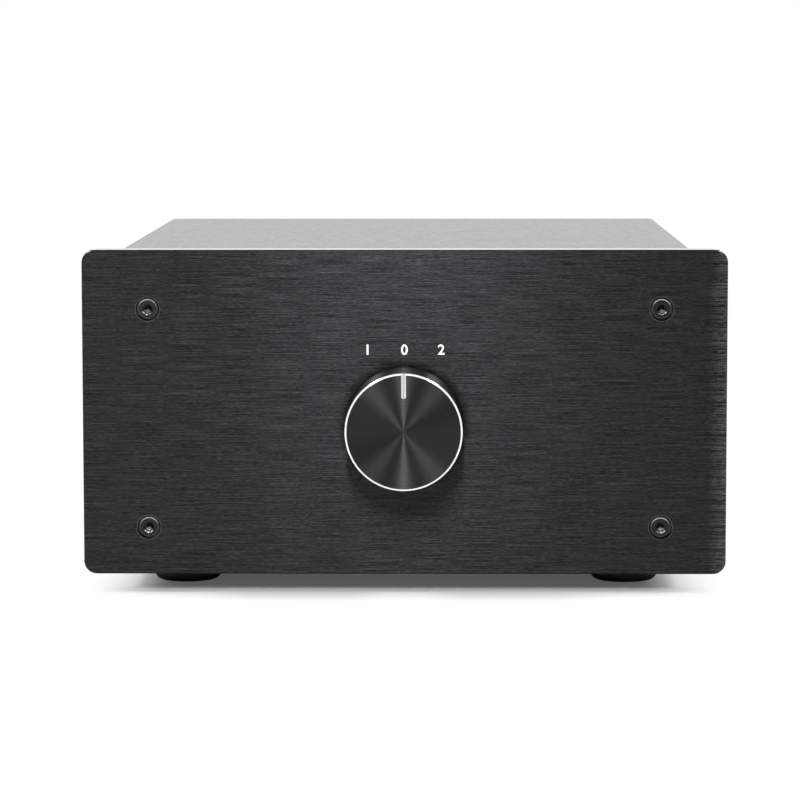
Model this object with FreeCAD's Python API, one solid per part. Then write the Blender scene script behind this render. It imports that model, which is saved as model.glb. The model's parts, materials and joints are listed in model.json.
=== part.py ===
"""Speaker selector switch: one pair of speakers is switched between two amplifiers.

A thick front plate carries a knob; behind it a folded tray and a cover hold a
four-wafer rotary switch, and twelve binding posts stand on the rear wall.

Millimetres. +X is to the right of someone facing the knob, +Y runs from the knob to
the rear, +Z is up. The origin is at the middle of the base of the whole object's box.
"""
import FreeCAD
import Part
import math
import os

Vector = FreeCAD.Vector

# ---------------------------------------------------------------- driving dimensions

# Front panel
panel_width = 175.0
panel_height = 88.5
panel_thickness = 8.0
panel_corner_radius = 3.5
panel_edge_chamfer = 0.3
panel_floor_gap = 5.0

# Screws that hold the panel
panel_screw_side_inset = 10.05    # axis inside the cover's side
panel_screw_top_inset = 16.1
panel_screw_bottom_inset = 12.8
panel_screw_sink = 0.5            # head below the panel's face
counterbore_diameter = 6.5
panel_screw_turns = (12.0, 40.0, 25.0, 3.0)     # each socket as its screw came tight

# Small machine screws and nuts
screw_diameter = 3.0
screw_head_diameter = 5.5
screw_head_height = 3.0
screw_socket_width = 2.5
screw_socket_depth = 1.5
screw_hole_diameter = 3.4
screw_end_reach = 0.8             # thread that shows past its nut
press_nut_diameter = 6.0
press_nut_height = 2.0
press_nut_shank_diameter = 4.2
nut_width = 5.5
nut_height = 2.4
nut_corner_dip = 0.6              # share of the corner's reach past the flats
screw_head_edge = 0.3
screw_tip_chamfer = 0.45
screw_socket_lead_in = 0.15
screw_socket_drill_angle = 120.0
press_nut_edge = 0.3

# Cover and chassis
cover_width = 159.5
cover_length = 197.0
cover_sheet = 1.2
cover_bend_radius = 2.0
cover_drop = 1.0                  # cover's top below the panel's top
cover_screw_inset_y = 22.0
cover_screw_height = 7.5          # above the chassis's underside
cover_screw_head_diameter = 5.7
cover_screw_head_height = 1.65
cover_screw_socket_width = 2.0
cover_screw_socket_depth = 1.2
cover_screw_head_rim = 0.25
chassis_sheet = 1.5
chassis_bend_radius = 0.8         # inside of each bend
chassis_flange_height = 14.0
chassis_lip_length = 9.0
chassis_corner_relief = 3.0
chassis_clearance = 0.25          # tray to cover, all round
rear_wall_inset = 1.0

# Feet
foot_height = 10.0
foot_top_diameter = 19.6
foot_bottom_diameter = 18.4
foot_edge_round = 2.0
foot_side_inset = 18.8            # foot's centre inside the cover's side
foot_front_inset_y = 18.0         # foot's centre behind the panel's rear face
foot_rear_inset_y = 25.0
foot_recess_diameter = 10.0
foot_recess_depth = 4.5
foot_screw_diameter = 4.0
foot_screw_head_diameter = 7.5
foot_screw_head_height = 2.4
foot_screw_slot_width = 1.0
foot_screw_slot_depth = 1.0
foot_screw_slot_turn = 35.0       # from one foot to the next
foot_washer_diameter = 9.0
foot_washer_thickness = 0.8
foot_nut_width = 7.0
foot_nut_height = 3.2

# Knob
knob_drop = 47.75                # axis below the panel's top edge
knob_front_diameter = 31.6
knob_base_diameter = 31.9
knob_length = 17.4
knob_panel_gap = 1.0
knob_rim_cut = 0.65
knob_base_chamfer = 0.3
knob_wall = 1.6
knob_recess_depth = 4.5
knob_hub_diameter = 13.0
knob_hub_setback = 0.8
knob_face_thickness = 2.5
knob_slot_width = 1.4
knob_slot_depth = 0.5
knob_slot_inner_radius = 9.0
set_screw_diameter = 3.0
set_screw_length = 6.0
set_screw_inset = 7.5             # from the knob's base
set_screw_socket_width = 1.5
set_screw_socket_depth = 1.6
set_screw_tip_chamfer = 0.6

# Switch shaft and its mounting
shaft_diameter = 6.0
shaft_flat_depth = 0.5            # flat for the set screw
shaft_across_flats = 3.6          # driving flats behind the switch plate
shaft_collar_diameter = 8.4
shaft_collar_thickness = 0.7
shaft_groove_depth = 0.4
shaft_tail = 1.5                  # past the last rotor
shaft_end_gap = 0.5
bushing_diameter = 9.5
bushing_reach = 3.6               # in front of the chassis wall
bushing_spigot_diameter = 8.4
bushing_edge_chamfer = 0.75
shaft_clip_diameter = 8.6
shaft_clip_thickness = 0.6
shaft_clip_opening = 3.0
panel_hole_diameter = 6.8
panel_pocket_diameter = 20.0
panel_pocket_depth = 5.0
lock_washer_diameter = 14.4
lock_washer_thickness = 0.6
lock_washer_teeth = 12
lock_washer_tooth_depth = 0.9
lock_washer_slot_width = 1.0
switch_nut_width = 14.0
switch_nut_height = 2.5

# Indexing
switch_plate_thickness = 1.6
index_angle = 30.0                # from one position to the next
index_wheel_thickness = 2.5
index_wheel_tip_radius = 9.5
index_wheel_root_radius = 8.2
index_wheel_gap = 0.1
index_notch_floor = 0.24          # share of a notch's pitch
index_wheel_land = 0.28           # share of a notch's pitch
stop_tab_width = 3.0
stop_tab_reach = 12.8
stop_tab_root = 5.7               # tab starts this far from the axis
stop_pin_diameter = 2.4
stop_pin_radius = 11.4            # from the shaft's axis
detent_strip_thickness = 0.4
detent_nose_half_width = 2.6
detent_nose_flat = 0.6
detent_nose_depth = 2.2
detent_half_span = 13.0
spring_rivet_diameter = 2.0
spring_rivet_head_diameter = 3.4
spring_rivet_head_thickness = 0.6

# Wafers
wafer_count = 4
wafer_pitch = 9.0
wafer_thickness = 1.8
wafer_radius = 20.0
wafer_ear_radius = 4.5
first_wafer_gap = 8.0             # behind the switch plate
tie_screw_radius = 23.0           # from the shaft's axis
tie_screw_angle = 45.0
spacer_diameter = 6.0
rotor_radius = 8.0
rotor_gap = 0.15                  # rotor's rim to the stator
rotor_proud = 0.3                 # rotor's rear face behind the stator's
rotor_contact_thickness = 0.5
rotor_contact_inner_radius = 4.6
rotor_contact_ring_radius = 8.6
rotor_contact_tab_radius = 11.0
rotor_contact_tab_width = 2.8
contact_thickness = 0.5
contact_width = 4.0
contact_step_gap = 0.3            # riser outside the tabs
contact_tip_common = 6.5
contact_tip_input = 9.4
contact_lug_radius = 25.0
contact_lug_hole_diameter = 1.4
contact_lug_hole_inset = 2.1
contact_rivet_diameter = 2.0

# Binding posts
terminal_pair_spacing = 19.0
terminal_row_spacing = 28.0
terminal_group_spacing = 49.5
terminal_hole_diameter = 8.0
insulator_diameter = 13.2
outer_insulator_thickness = 2.5
outer_insulator_edge = 0.3
inner_insulator_thickness = 1.5
post_stud_diameter = 6.0
post_collar_diameter = 10.4
post_collar_thickness = 1.5
post_thread_diameter = 7.0
post_thread_length = 14.0
post_socket_diameter = 4.0
post_socket_depth = 17.0
post_cross_hole_diameter = 2.6
post_cross_hole_height = 2.2      # above the collar
post_tail = 2.2                   # stud past its nut
post_tip_chamfer = 0.35
terminal_nut_width = 10.0
terminal_nut_height = 3.0
tag_thickness = 0.8
tag_ring_diameter = 10.4
tag_reach = 10.5
tag_tail_width = 4.2
tag_hole_diameter = 1.6
tag_hole_reach = 8.5
sleeve_wall = 1.2
sleeve_length = 9.0
sleeve_setback = 1.0              # inside the cap's mouth
cap_diameter = 12.8
cap_end_wall = 1.4
cap_end_gap = 0.2
cap_mouth_gap = 0.15
cap_shoulder_wall = 0.9           # cap's bore steps in behind the sleeve
cap_entry_diameter = 4.8
cap_flutes = 10
cap_flute_diameter = 2.6
cap_flute_depth = 0.7
cap_skirt_length = 2.4
cap_edge_chamfer = 0.7

# Wires
wire_diameter = 2.4
wire_bend_radius = 5.0
wire_bend_share = 0.45            # of the shorter run, for one bend
wire_stub = 8.0                   # straight run in to a switch lug
wire_lane_height = 12.0           # speaker wires above the wafers' lugs
wire_lane_spacing = 6.0
wire_rise_start = 16.0            # in front of the tags
wire_rise_length = 44.0

# Fits
running_clearance = 0.03
assembly_clearance = 0.05
panel_clearance = 0.1
overcut = 1.0                     # a cutting tool runs this far past its piece

# ---------------------------------------------------------------- derived places

cap_length = post_thread_length - cap_mouth_gap + cap_end_gap + cap_end_wall
rear_reach = (outer_insulator_thickness + post_collar_thickness + cap_mouth_gap
              + cap_length)
front_reach = knob_panel_gap + knob_length
wall_from_front = panel_thickness + cover_length - rear_wall_inset
overall_length = front_reach + wall_from_front + rear_reach

panel_front = front_reach - overall_length / 2.0
panel_rear = panel_front + panel_thickness
panel_bottom = panel_floor_gap
panel_top = panel_bottom + panel_height

base = foot_height                                   # chassis's underside
cover_top = panel_top - cover_drop
cover_front = panel_rear + panel_clearance
cover_rear = panel_rear + cover_length
rear_face = panel_front + wall_from_front            # outside of the rear wall
rear_inside = rear_face - chassis_sheet
wall_inside = panel_rear + chassis_sheet             # inside of the front wall
tray_half_width = cover_width / 2.0 - cover_sheet - chassis_clearance
tray_top = cover_top - cover_sheet - chassis_clearance

axis_z = panel_top - knob_drop
knob_base = panel_front - knob_panel_gap
knob_front = knob_base - knob_length

plate_front = wall_inside
plate_rear = plate_front + switch_plate_thickness
wheel_front = plate_rear + index_wheel_gap + shaft_collar_thickness + index_wheel_gap
wheel_rear = wheel_front + index_wheel_thickness
first_wafer = plate_rear + first_wafer_gap
last_wafer_rear = first_wafer + (wafer_count - 1) * wafer_pitch + wafer_thickness

tag_front = rear_inside - inner_insulator_thickness - tag_thickness
collar_rear = rear_face + outer_insulator_thickness + post_collar_thickness
cap_front = collar_rear + cap_mouth_gap
terminal_middle_z = (base + chassis_sheet + tray_top) / 2.0

panel_screw_places = [
    (side * (cover_width / 2.0 - panel_screw_side_inset), height)
    for height in (panel_top - panel_screw_top_inset, panel_bottom + panel_screw_bottom_inset)
    for side in (-1, 1)]
cover_screw_places = [
    (side, along)
    for along in (cover_front + cover_screw_inset_y, cover_rear - cover_screw_inset_y)
    for side in (-1, 1)]
foot_places = [
    (side * (cover_width / 2.0 - foot_side_inset), along)
    for along in (panel_rear + foot_front_inset_y, cover_rear - foot_rear_inset_y)
    for side in (-1, 1)]
tie_places = [
    (sign * tie_screw_radius * math.cos(math.radians(tie_screw_angle)),
     axis_z + sign * tie_screw_radius * math.sin(math.radians(tie_screw_angle)))
    for sign in (1, -1)]


def terminals():
    """(name, group, x, z, up, pole) of each post: up is 1 in the top row, -1 below;
    poles 0 to 3 are the wafers."""
    rows = ((1, "red"), (-1, "black"))
    places = []
    for group, middle in (("amp_1", -1), ("speaker", 0), ("amp_2", 1)):
        for column in (-1, 1):
            outward = column * (middle or 1)
            channel = "left" if (outward > 0) == (middle != 0) else "right"
            for up, colour in rows:
                x = middle * terminal_group_spacing + column * terminal_pair_spacing / 2.0
                z = terminal_middle_z + up * terminal_row_spacing / 2.0
                pole = (0 if channel == "left" else 2) + (0 if up > 0 else 1)
                places.append((f"{group}_{channel}_{colour}", group, x, z, up, pole))
    return places


# ---------------------------------------------------------------- shape helpers

def rod_y(radius, y0, y1, x=0.0, z=0.0):
    return Part.makeCylinder(radius, y1 - y0, Vector(x, y0, z), Vector(0, 1, 0))


def tube_y(outer, inner, y0, y1, x=0.0, z=0.0):
    return rod_y(outer, y0, y1, x, z).cut(rod_y(inner, y0, y1, x, z))


def rod_z(radius, z0, z1, x=0.0, y=0.0):
    return Part.makeCylinder(radius, z1 - z0, Vector(x, y, z0), Vector(0, 0, 1))


def block(x0, x1, y0, y1, z0, z1):
    return Part.makeBox(x1 - x0, y1 - y0, z1 - z0, Vector(x0, y0, z0))


def polygon_face(points):
    return Part.Face(Part.makePolygon(list(points) + [points[0]]))


def revolved_y(profile, x=0.0, z=0.0):
    """Turn (radius, y) points about an axis along Y through (x, z)."""
    face = polygon_face([Vector(r, y, 0) for r, y in profile])
    shape = face.revolve(Vector(0, 0, 0), Vector(0, 1, 0), 360)
    shape.translate(Vector(x, 0, z))
    return shape


def hex_y(width, y0, y1, x=0.0, z=0.0, turn=0.0):
    corner = width / math.sqrt(3.0)
    points = [Vector(x + corner * math.cos(math.radians(60 * i + turn)), y0,
                     z + corner * math.sin(math.radians(60 * i + turn))) for i in range(6)]
    return polygon_face(points).extrude(Vector(0, y1 - y0, 0))


def hex_nut_y(width, bore, y0, y1, x=0.0, z=0.0):
    """Hexagon nut, flat on its low face, its corners turned off on the high one."""
    corner = width / math.sqrt(3.0)
    dip = (corner - width / 2.0) * nut_corner_dip
    rounded = revolved_y([(0, y0), (corner, y0), (corner, y1 - dip), (width / 2.0, y1),
                          (0, y1)], x, z)
    return hex_y(width, y0, y1, x, z).common(rounded).cut(rod_y(bore, y0, y1, x, z))


def turned_to(shape, x, y, z, axis, angle):
    """Copy of a shape made at the origin, turned about an axis and set at (x, y, z)."""
    copy = shape.copy()
    copy.rotate(Vector(0, 0, 0), axis, angle)
    copy.translate(Vector(x, y, z))
    return copy


def rounded_rectangle_xz(width, height, radius, x, z, y):
    """Face in the XZ plane, centred on (x, z)."""
    half_w, half_h = width / 2.0, height / 2.0
    edges = []
    corners = [(half_w, -half_h, -90), (half_w, half_h, 0),
               (-half_w, half_h, 90), (-half_w, -half_h, 180)]
    ends = []
    for cx, cz, start in corners:
        mx = cx - math.copysign(radius, cx)
        mz = cz - math.copysign(radius, cz)
        places = [Vector(x + mx + radius * math.cos(math.radians(start + a)), y,
                         z + mz + radius * math.sin(math.radians(start + a)))
                  for a in (0, 45, 90)]
        ends.append(places)
    for index, places in enumerate(ends):
        edges.append(Part.Arc(*places).toShape())
        following = ends[(index + 1) % 4][0]
        edges.append(Part.LineSegment(places[2], following).toShape())
    return Part.Face(Part.Wire(edges))


def folded(points, thickness, inner_radius, direction):
    """Sheet that follows a path of its outside corners, bent with round corners.

    The path's points lie in a plane; the sheet lies on the left of its direction of
    travel seen against the extrusion, and is extruded by the vector `direction`.
    """
    normal = Vector(direction).normalize()
    outer = inner_radius + thickness
    count = len(points)
    outside, inside = [], []
    for index, point in enumerate(points):
        if index in (0, count - 1):
            step = (points[1] - points[0]) if index == 0 else (points[-1] - points[-2])
            side = normal.cross(step).normalize() * thickness
            outside.append((point,))
            inside.append((point + side,))
            continue
        before = (point - points[index - 1]).normalize()
        after = (points[index + 1] - point).normalize()
        side_before = normal.cross(before).normalize()
        side_after = normal.cross(after).normalize()
        centre = point + (side_before + side_after) * outer
        middle = (side_before + side_after).normalize() * -1
        outside.append((centre - side_before * outer, centre + middle * outer,
                        centre - side_after * outer))
        inside.append((centre - side_before * inner_radius, centre + middle * inner_radius,
                       centre - side_after * inner_radius))
    edges = []

    def run(places):
        for index, place in enumerate(places):
            if len(place) == 3:
                edges.append(Part.Arc(*place).toShape())
            if index + 1 < len(places):
                edges.append(Part.LineSegment(place[-1], places[index + 1][0]).toShape())

    run(outside)
    edges.append(Part.LineSegment(outside[-1][-1], inside[-1][0]).toShape())
    run([tuple(reversed(place)) for place in reversed(inside)])
    edges.append(Part.LineSegment(inside[0][0], outside[0][0]).toShape())
    return Part.Face(Part.Wire(edges)).extrude(direction)


def cut_all(shape, tools):
    return shape.cut(Part.makeCompound(tools)) if tools else shape


def fused(first, *others):
    return first.fuse(list(others)).removeSplitter()


# ---------------------------------------------------------------- fasteners

def socket_screw(head_front, length, turn):
    """Socket-head screw on the Y axis, its head's front face at y = head_front."""
    head = screw_head_diameter / 2.0
    edge = screw_head_edge
    head_rear = head_front + screw_head_height
    tip = screw_tip_chamfer
    body = revolved_y([(0, head_front), (head - edge, head_front), (head, head_front + edge),
                       (head, head_rear), (screw_diameter / 2.0, head_rear),
                       (screw_diameter / 2.0, head_rear + length - tip),
                       (screw_diameter / 2.0 - tip, head_rear + length),
                       (0, head_rear + length)])
    socket = hex_y(screw_socket_width, head_front, head_front + screw_socket_depth, turn=turn)
    mouth = screw_socket_width / math.sqrt(3.0) + screw_socket_lead_in
    lead_in = revolved_y([(0, head_front), (mouth, head_front),
                          (0, head_front + mouth / 2.0)])
    floor = head_front + screw_socket_depth
    drill = screw_socket_width / 2.0 - screw_socket_lead_in
    point = drill / math.tan(math.radians(screw_socket_drill_angle / 2.0))
    drill_point = revolved_y([(0, floor), (drill, floor), (0, floor + point)])
    return cut_all(body, [socket, lead_in, drill_point])


def front_panel_screws():
    length = (panel_thickness - panel_screw_sink - screw_head_height + chassis_sheet
              + press_nut_height + screw_end_reach)
    screws = []
    for (x, z), turn in zip(panel_screw_places, panel_screw_turns):
        screw = socket_screw(panel_front + panel_screw_sink, length, turn)
        screw.translate(Vector(x, 0, z))
        screws.append(screw)
    return screws


def press_nut(sheet):
    """Press nut on the Y axis: the shank fills a sheet from y = -sheet to 0."""
    bore = screw_diameter / 2.0 + assembly_clearance
    edge = press_nut_edge
    return revolved_y([(bore, -sheet), (press_nut_shank_diameter / 2.0, -sheet),
                       (press_nut_shank_diameter / 2.0, 0), (press_nut_diameter / 2.0, 0),
                       (press_nut_diameter / 2.0, press_nut_height - edge),
                       (press_nut_diameter / 2.0 - edge, press_nut_height),
                       (bore, press_nut_height)])


def press_nuts():
    nuts = [turned_to(press_nut(chassis_sheet), x, wall_inside, z, Vector(0, 0, 1), 0)
            for x, z in panel_screw_places]
    for side, along in cover_screw_places:
        nuts.append(turned_to(press_nut(chassis_sheet), side * (tray_half_width - chassis_sheet),
                              along, base + cover_screw_height, Vector(0, 0, 1), side * 90))
    return nuts


def cover_screws():
    """Button-head screws through the cover's sides, along X."""
    head = cover_screw_head_diameter / 2.0
    length = (cover_sheet + chassis_clearance + chassis_sheet + press_nut_height
              + screw_end_reach)
    height = cover_screw_head_height
    shank = screw_diameter / 2.0
    rim = height - cover_screw_head_rim
    dome = (head ** 2 + rim ** 2) / (2.0 * rim)
    half_angle = math.asin(head / dome) / 2.0
    middle = Vector(dome * math.sin(half_angle), dome * (1 - math.cos(half_angle)) - height, 0)
    corners = [Vector(head, -cover_screw_head_rim, 0), Vector(head, 0, 0), Vector(shank, 0, 0),
               Vector(shank, length, 0), Vector(0, length, 0), Vector(0, -height, 0)]
    edges = [Part.LineSegment(a, b).toShape() for a, b in zip(corners, corners[1:])]
    edges.append(Part.Arc(corners[-1], middle, corners[0]).toShape())
    body = Part.Face(Part.Wire(edges)).revolve(Vector(0, 0, 0), Vector(0, 1, 0), 360)
    socket = hex_y(cover_screw_socket_width, -height - overcut,
                   -height + cover_screw_socket_depth)
    screw = body.cut(socket)
    return [turned_to(screw, side * cover_width / 2.0, along, base + cover_screw_height,
                      Vector(0, 0, 1), side * 90)
            for side, along in cover_screw_places]


# ---------------------------------------------------------------- housing

def front_panel():
    face = rounded_rectangle_xz(panel_width, panel_height, panel_corner_radius, 0,
                                (panel_bottom + panel_top) / 2.0, panel_front)
    plate = face.extrude(Vector(0, panel_thickness, 0))
    rims = [edge for edge in plate.Edges
            if abs(edge.BoundBox.YMax - edge.BoundBox.YMin) < 1e-6]
    plate = plate.makeChamfer(panel_edge_chamfer, rims)
    holes = []
    for x, z in panel_screw_places:
        holes.append(rod_y(counterbore_diameter / 2.0, panel_front - overcut,
                           panel_front + panel_screw_sink + screw_head_height, x, z))
        holes.append(rod_y(screw_hole_diameter / 2.0, panel_front, panel_rear + overcut, x, z))
    holes.append(rod_y(panel_hole_diameter / 2.0, panel_front - overcut, panel_rear, 0, axis_z))
    holes.append(rod_y(panel_pocket_diameter / 2.0, panel_rear - panel_pocket_depth,
                       panel_rear + overcut, 0, axis_z))
    return [cut_all(plate, holes)]


def chassis_tray():
    """Folded tray: floor, front and rear walls with lips, and two side flanges."""
    half = tray_half_width
    inner = half - chassis_corner_relief
    lip = chassis_lip_length
    front_to_rear = folded(
        [Vector(-inner, panel_rear + lip, tray_top), Vector(-inner, panel_rear, tray_top),
         Vector(-inner, panel_rear, base), Vector(-inner, rear_face, base),
         Vector(-inner, rear_face, tray_top), Vector(-inner, rear_face - lip, tray_top)],
        chassis_sheet, chassis_bend_radius, Vector(2 * inner, 0, 0))
    flange_top = base + chassis_flange_height
    start = panel_rear + chassis_corner_relief
    end = rear_face - chassis_corner_relief
    side_to_side = folded(
        [Vector(half, start, flange_top), Vector(half, start, base),
         Vector(-half, start, base), Vector(-half, start, flange_top)],
        chassis_sheet, chassis_bend_radius, Vector(0, end - start, 0))
    walls = []
    wing = half - inner
    for y0, y1 in ((panel_rear, wall_inside), (rear_inside, rear_face)):
        for side in (-1, 1):
            x0, x1 = sorted((side * (inner - wing), side * half))
            walls.append(block(x0, x1, y0, y1, base + chassis_corner_relief, tray_top
                               - chassis_corner_relief))
    tray = fused(front_to_rear, side_to_side, *walls)
    shank = press_nut_shank_diameter / 2.0
    holes = [rod_y(shank, panel_rear - overcut, wall_inside + overcut, x, z)
             for x, z in panel_screw_places]
    holes.append(rod_y(bushing_diameter / 2.0 + assembly_clearance, panel_rear - overcut,
                       wall_inside + overcut, 0, axis_z))
    for _, _, x, z, _, _ in terminals():
        holes.append(rod_y(terminal_hole_diameter / 2.0, rear_inside - overcut,
                           rear_face + overcut, x, z))
    for x, y in foot_places:
        holes.append(rod_z(foot_screw_diameter / 2.0 + assembly_clearance, base - overcut,
                           base + chassis_sheet + overcut, x, y))
    for side, along in cover_screw_places:
        holes.append(Part.makeCylinder(shank, 2 * (chassis_sheet + overcut),
                                       Vector(side * (half + overcut), along,
                                              base + cover_screw_height),
                                       Vector(-side, 0, 0)))
    return [cut_all(tray, holes)]


def top_cover():
    """Inverted U that closes the top and both sides."""
    half = cover_width / 2.0
    sheet = folded(
        [Vector(-half, cover_front, base), Vector(-half, cover_front, cover_top),
         Vector(half, cover_front, cover_top), Vector(half, cover_front, base)],
        cover_sheet, cover_bend_radius - cover_sheet,
        Vector(0, cover_rear - cover_front, 0))
    holes = []
    for side, along in cover_screw_places:
        holes.append(Part.makeCylinder(screw_hole_diameter / 2.0, 2 * (cover_sheet + overcut),
                                       Vector(side * (half + overcut), along,
                                              base + cover_screw_height),
                                       Vector(-side, 0, 0)))
    return [cut_all(sheet, holes)]


# ---------------------------------------------------------------- feet

def foot(x, y):
    """Rubber foot, drawn in from top to bottom, with a rolled lower edge."""
    top = foot_top_diameter / 2.0
    low = foot_bottom_diameter / 2.0
    roll = foot_edge_round
    recess = foot_recess_diameter / 2.0
    bore = foot_screw_diameter / 2.0 + assembly_clearance
    lean = (top - low) * roll / foot_height
    shoulder = Vector(low + lean, 0, roll)
    knuckle = Vector(low - roll * (1 - math.cos(math.radians(45))), 0,
                     roll * (1 - math.sin(math.radians(45))))
    flat = Vector(low - roll, 0, 0)
    points = [flat, Vector(recess, 0, 0), Vector(recess, 0, foot_recess_depth),
              Vector(bore, 0, foot_recess_depth), Vector(bore, 0, foot_height),
              Vector(top, 0, foot_height), shoulder]
    edges = [Part.LineSegment(a, b).toShape() for a, b in zip(points, points[1:])]
    edges.append(Part.Arc(shoulder, knuckle, flat).toShape())
    body = Part.Face(Part.Wire(edges)).revolve(Vector(0, 0, 0), Vector(0, 0, 1), 360)
    body.translate(Vector(x, y, 0))
    return body


def feet():
    return [foot(x, y) for x, y in foot_places]


def foot_washers():
    bore = foot_screw_diameter / 2.0 + assembly_clearance
    z1 = foot_recess_depth
    z0 = z1 - foot_washer_thickness
    return [rod_z(foot_washer_diameter / 2.0, z0, z1, x, y).cut(rod_z(bore, z0, z1, x, y))
            for x, y in foot_places]


def foot_screws():
    """Cheese-head screws, up through foot and floor."""
    seat = foot_recess_depth - foot_washer_thickness
    end = base + chassis_sheet + foot_nut_height + screw_end_reach
    low = seat - foot_screw_head_height
    screws = []
    for index, (x, y) in enumerate(foot_places):
        head = rod_z(foot_screw_head_diameter / 2.0, low, seat)
        shank = rod_z(foot_screw_diameter / 2.0, seat, end)
        slot = block(-foot_screw_head_diameter, foot_screw_head_diameter,
                     -foot_screw_slot_width / 2.0, foot_screw_slot_width / 2.0,
                     low - overcut, low + foot_screw_slot_depth)
        slot.rotate(Vector(0, 0, 0), Vector(0, 0, 1), foot_screw_slot_turn * index)
        screw = fused(head, shank).cut(slot)
        screw.translate(Vector(x, y, 0))
        screws.append(screw)
    return screws


def foot_nuts():
    bore = foot_screw_diameter / 2.0 + assembly_clearance
    floor = base + chassis_sheet
    return [turned_to(hex_nut_y(foot_nut_width, bore, 0, foot_nut_height), x, y, floor,
                      Vector(1, 0, 0), 90)
            for x, y in foot_places]


# ---------------------------------------------------------------- knob

def knob():
    """Turned knob: tapered side, cut rim, blind bore, hollow back, milled pointer slot."""
    front = knob_front_diameter / 2.0
    rear = knob_base_diameter / 2.0
    hub = knob_hub_diameter / 2.0
    bore = shaft_diameter / 2.0 + assembly_clearance
    recess_floor = knob_base - knob_recess_depth
    bore_end = knob_front + knob_face_thickness
    turned = revolved_y([
        (0, knob_front), (front - knob_rim_cut, knob_front),
        (front, knob_front + knob_rim_cut), (rear, knob_base - knob_base_chamfer),
        (rear - knob_base_chamfer, knob_base), (rear - knob_wall, knob_base),
        (rear - knob_wall, recess_floor), (hub, recess_floor),
        (hub, knob_base - knob_hub_setback), (bore, knob_base - knob_hub_setback),
        (bore, bore_end), (0, bore_end)])
    half = knob_slot_width / 2.0
    slot_floor = knob_front + knob_slot_depth
    start = knob_slot_inner_radius + half
    slot = fused(block(-half, half, knob_front - overcut, slot_floor, start, front + overcut),
                 rod_y(half, knob_front - overcut, slot_floor, 0, start))
    screw_hole = Part.makeCylinder(set_screw_diameter / 2.0 + assembly_clearance, rear + overcut,
                                   Vector(0, knob_base - set_screw_inset, 0),
                                   Vector(0, 0, -1))
    body = cut_all(turned, [slot, screw_hole])
    body.translate(Vector(0, 0, axis_z))
    return [body]


def knob_set_screw():
    """Headless screw that bears on the shaft's flat."""
    seat = shaft_diameter / 2.0 - shaft_flat_depth + assembly_clearance
    tip = set_screw_tip_chamfer
    end = seat + set_screw_length
    radius = set_screw_diameter / 2.0
    body = revolved_y([(0, seat), (radius - tip, seat), (radius, seat + tip), (radius, end),
                       (0, end)])
    socket = hex_y(set_screw_socket_width, end - set_screw_socket_depth, end + overcut)
    screw = body.cut(socket)
    return [turned_to(screw, 0, knob_base - set_screw_inset, axis_z, Vector(1, 0, 0), -90)]


# ---------------------------------------------------------------- switch

def double_d(across, y0, y1, clearance=0.0):
    """Shaft section with two flats, for the shaft's tail and the holes it drives."""
    half = across / 2.0 + clearance
    reach = shaft_diameter
    stem = rod_y(shaft_diameter / 2.0 + clearance, y0, y1)
    return stem.common(block(-reach, reach, y0, y1, -half, half))


def clip_front():
    return panel_rear - bushing_reach - assembly_clearance - shaft_clip_thickness


def switch_shaft():
    radius = shaft_diameter / 2.0
    tip = knob_front + knob_face_thickness + shaft_end_gap
    tail = last_wafer_rear + rotor_proud + shaft_tail
    stem = rod_y(radius, tip, plate_rear + index_wheel_gap)
    collar = rod_y(shaft_collar_diameter / 2.0, plate_rear + index_wheel_gap,
                   plate_rear + index_wheel_gap + shaft_collar_thickness)
    flats = double_d(shaft_across_flats, plate_rear + index_wheel_gap, tail)
    shaft = fused(stem, collar, flats)
    flat = block(-radius, radius, tip - overcut, knob_base, -radius - overcut,
                 -radius + shaft_flat_depth)
    groove = tube_y(radius + overcut, radius - shaft_groove_depth,
                    clip_front() - assembly_clearance,
                    clip_front() + shaft_clip_thickness + assembly_clearance)
    shaft = cut_all(shaft, [flat, groove])
    shaft.translate(Vector(0, 0, axis_z))
    return [shaft]


def shaft_clip():
    """Open ring in the shaft's groove, in front of the bushing."""
    bore = shaft_diameter / 2.0 - shaft_groove_depth + running_clearance
    ring = tube_y(shaft_clip_diameter / 2.0, bore, clip_front(),
                  clip_front() + shaft_clip_thickness)
    opening = block(0, shaft_clip_diameter, clip_front() - overcut,
                    clip_front() + shaft_clip_thickness + overcut,
                    -shaft_clip_opening / 2.0, shaft_clip_opening / 2.0)
    clip = ring.cut(opening)
    clip.translate(Vector(0, 0, axis_z))
    return [clip]


def switch_bushing():
    bore = shaft_diameter / 2.0 + running_clearance
    radius = bushing_diameter / 2.0
    front = panel_rear - bushing_reach
    edge = bushing_edge_chamfer
    spigot = bushing_spigot_diameter / 2.0
    return [revolved_y([(bore, front), (radius - edge, front), (radius, front + edge),
                        (radius, plate_front), (spigot, plate_front), (spigot, plate_rear),
                        (bore, plate_rear)], 0, axis_z)]


def switch_lock_washer():
    """Toothed washer between the nut and the chassis wall."""
    outer = lock_washer_diameter / 2.0
    y0 = panel_rear - lock_washer_thickness
    ring = tube_y(outer, bushing_diameter / 2.0 + assembly_clearance, y0, panel_rear)
    pitch = 360.0 / lock_washer_teeth
    gaps = []
    for index in range(lock_washer_teeth):
        gap = block(outer - lock_washer_tooth_depth, outer + overcut, y0 - overcut,
                    panel_rear + overcut, -lock_washer_slot_width / 2.0,
                    lock_washer_slot_width / 2.0)
        gap.rotate(Vector(0, 0, 0), Vector(0, 1, 0), pitch * index)
        gaps.append(gap)
    washer = cut_all(ring, gaps)
    washer.translate(Vector(0, 0, axis_z))
    return [washer]


def switch_nut():
    y1 = panel_rear - lock_washer_thickness
    return [hex_nut_y(switch_nut_width, bushing_diameter / 2.0 + assembly_clearance,
                      y1 - switch_nut_height, y1, 0, axis_z)]


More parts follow.
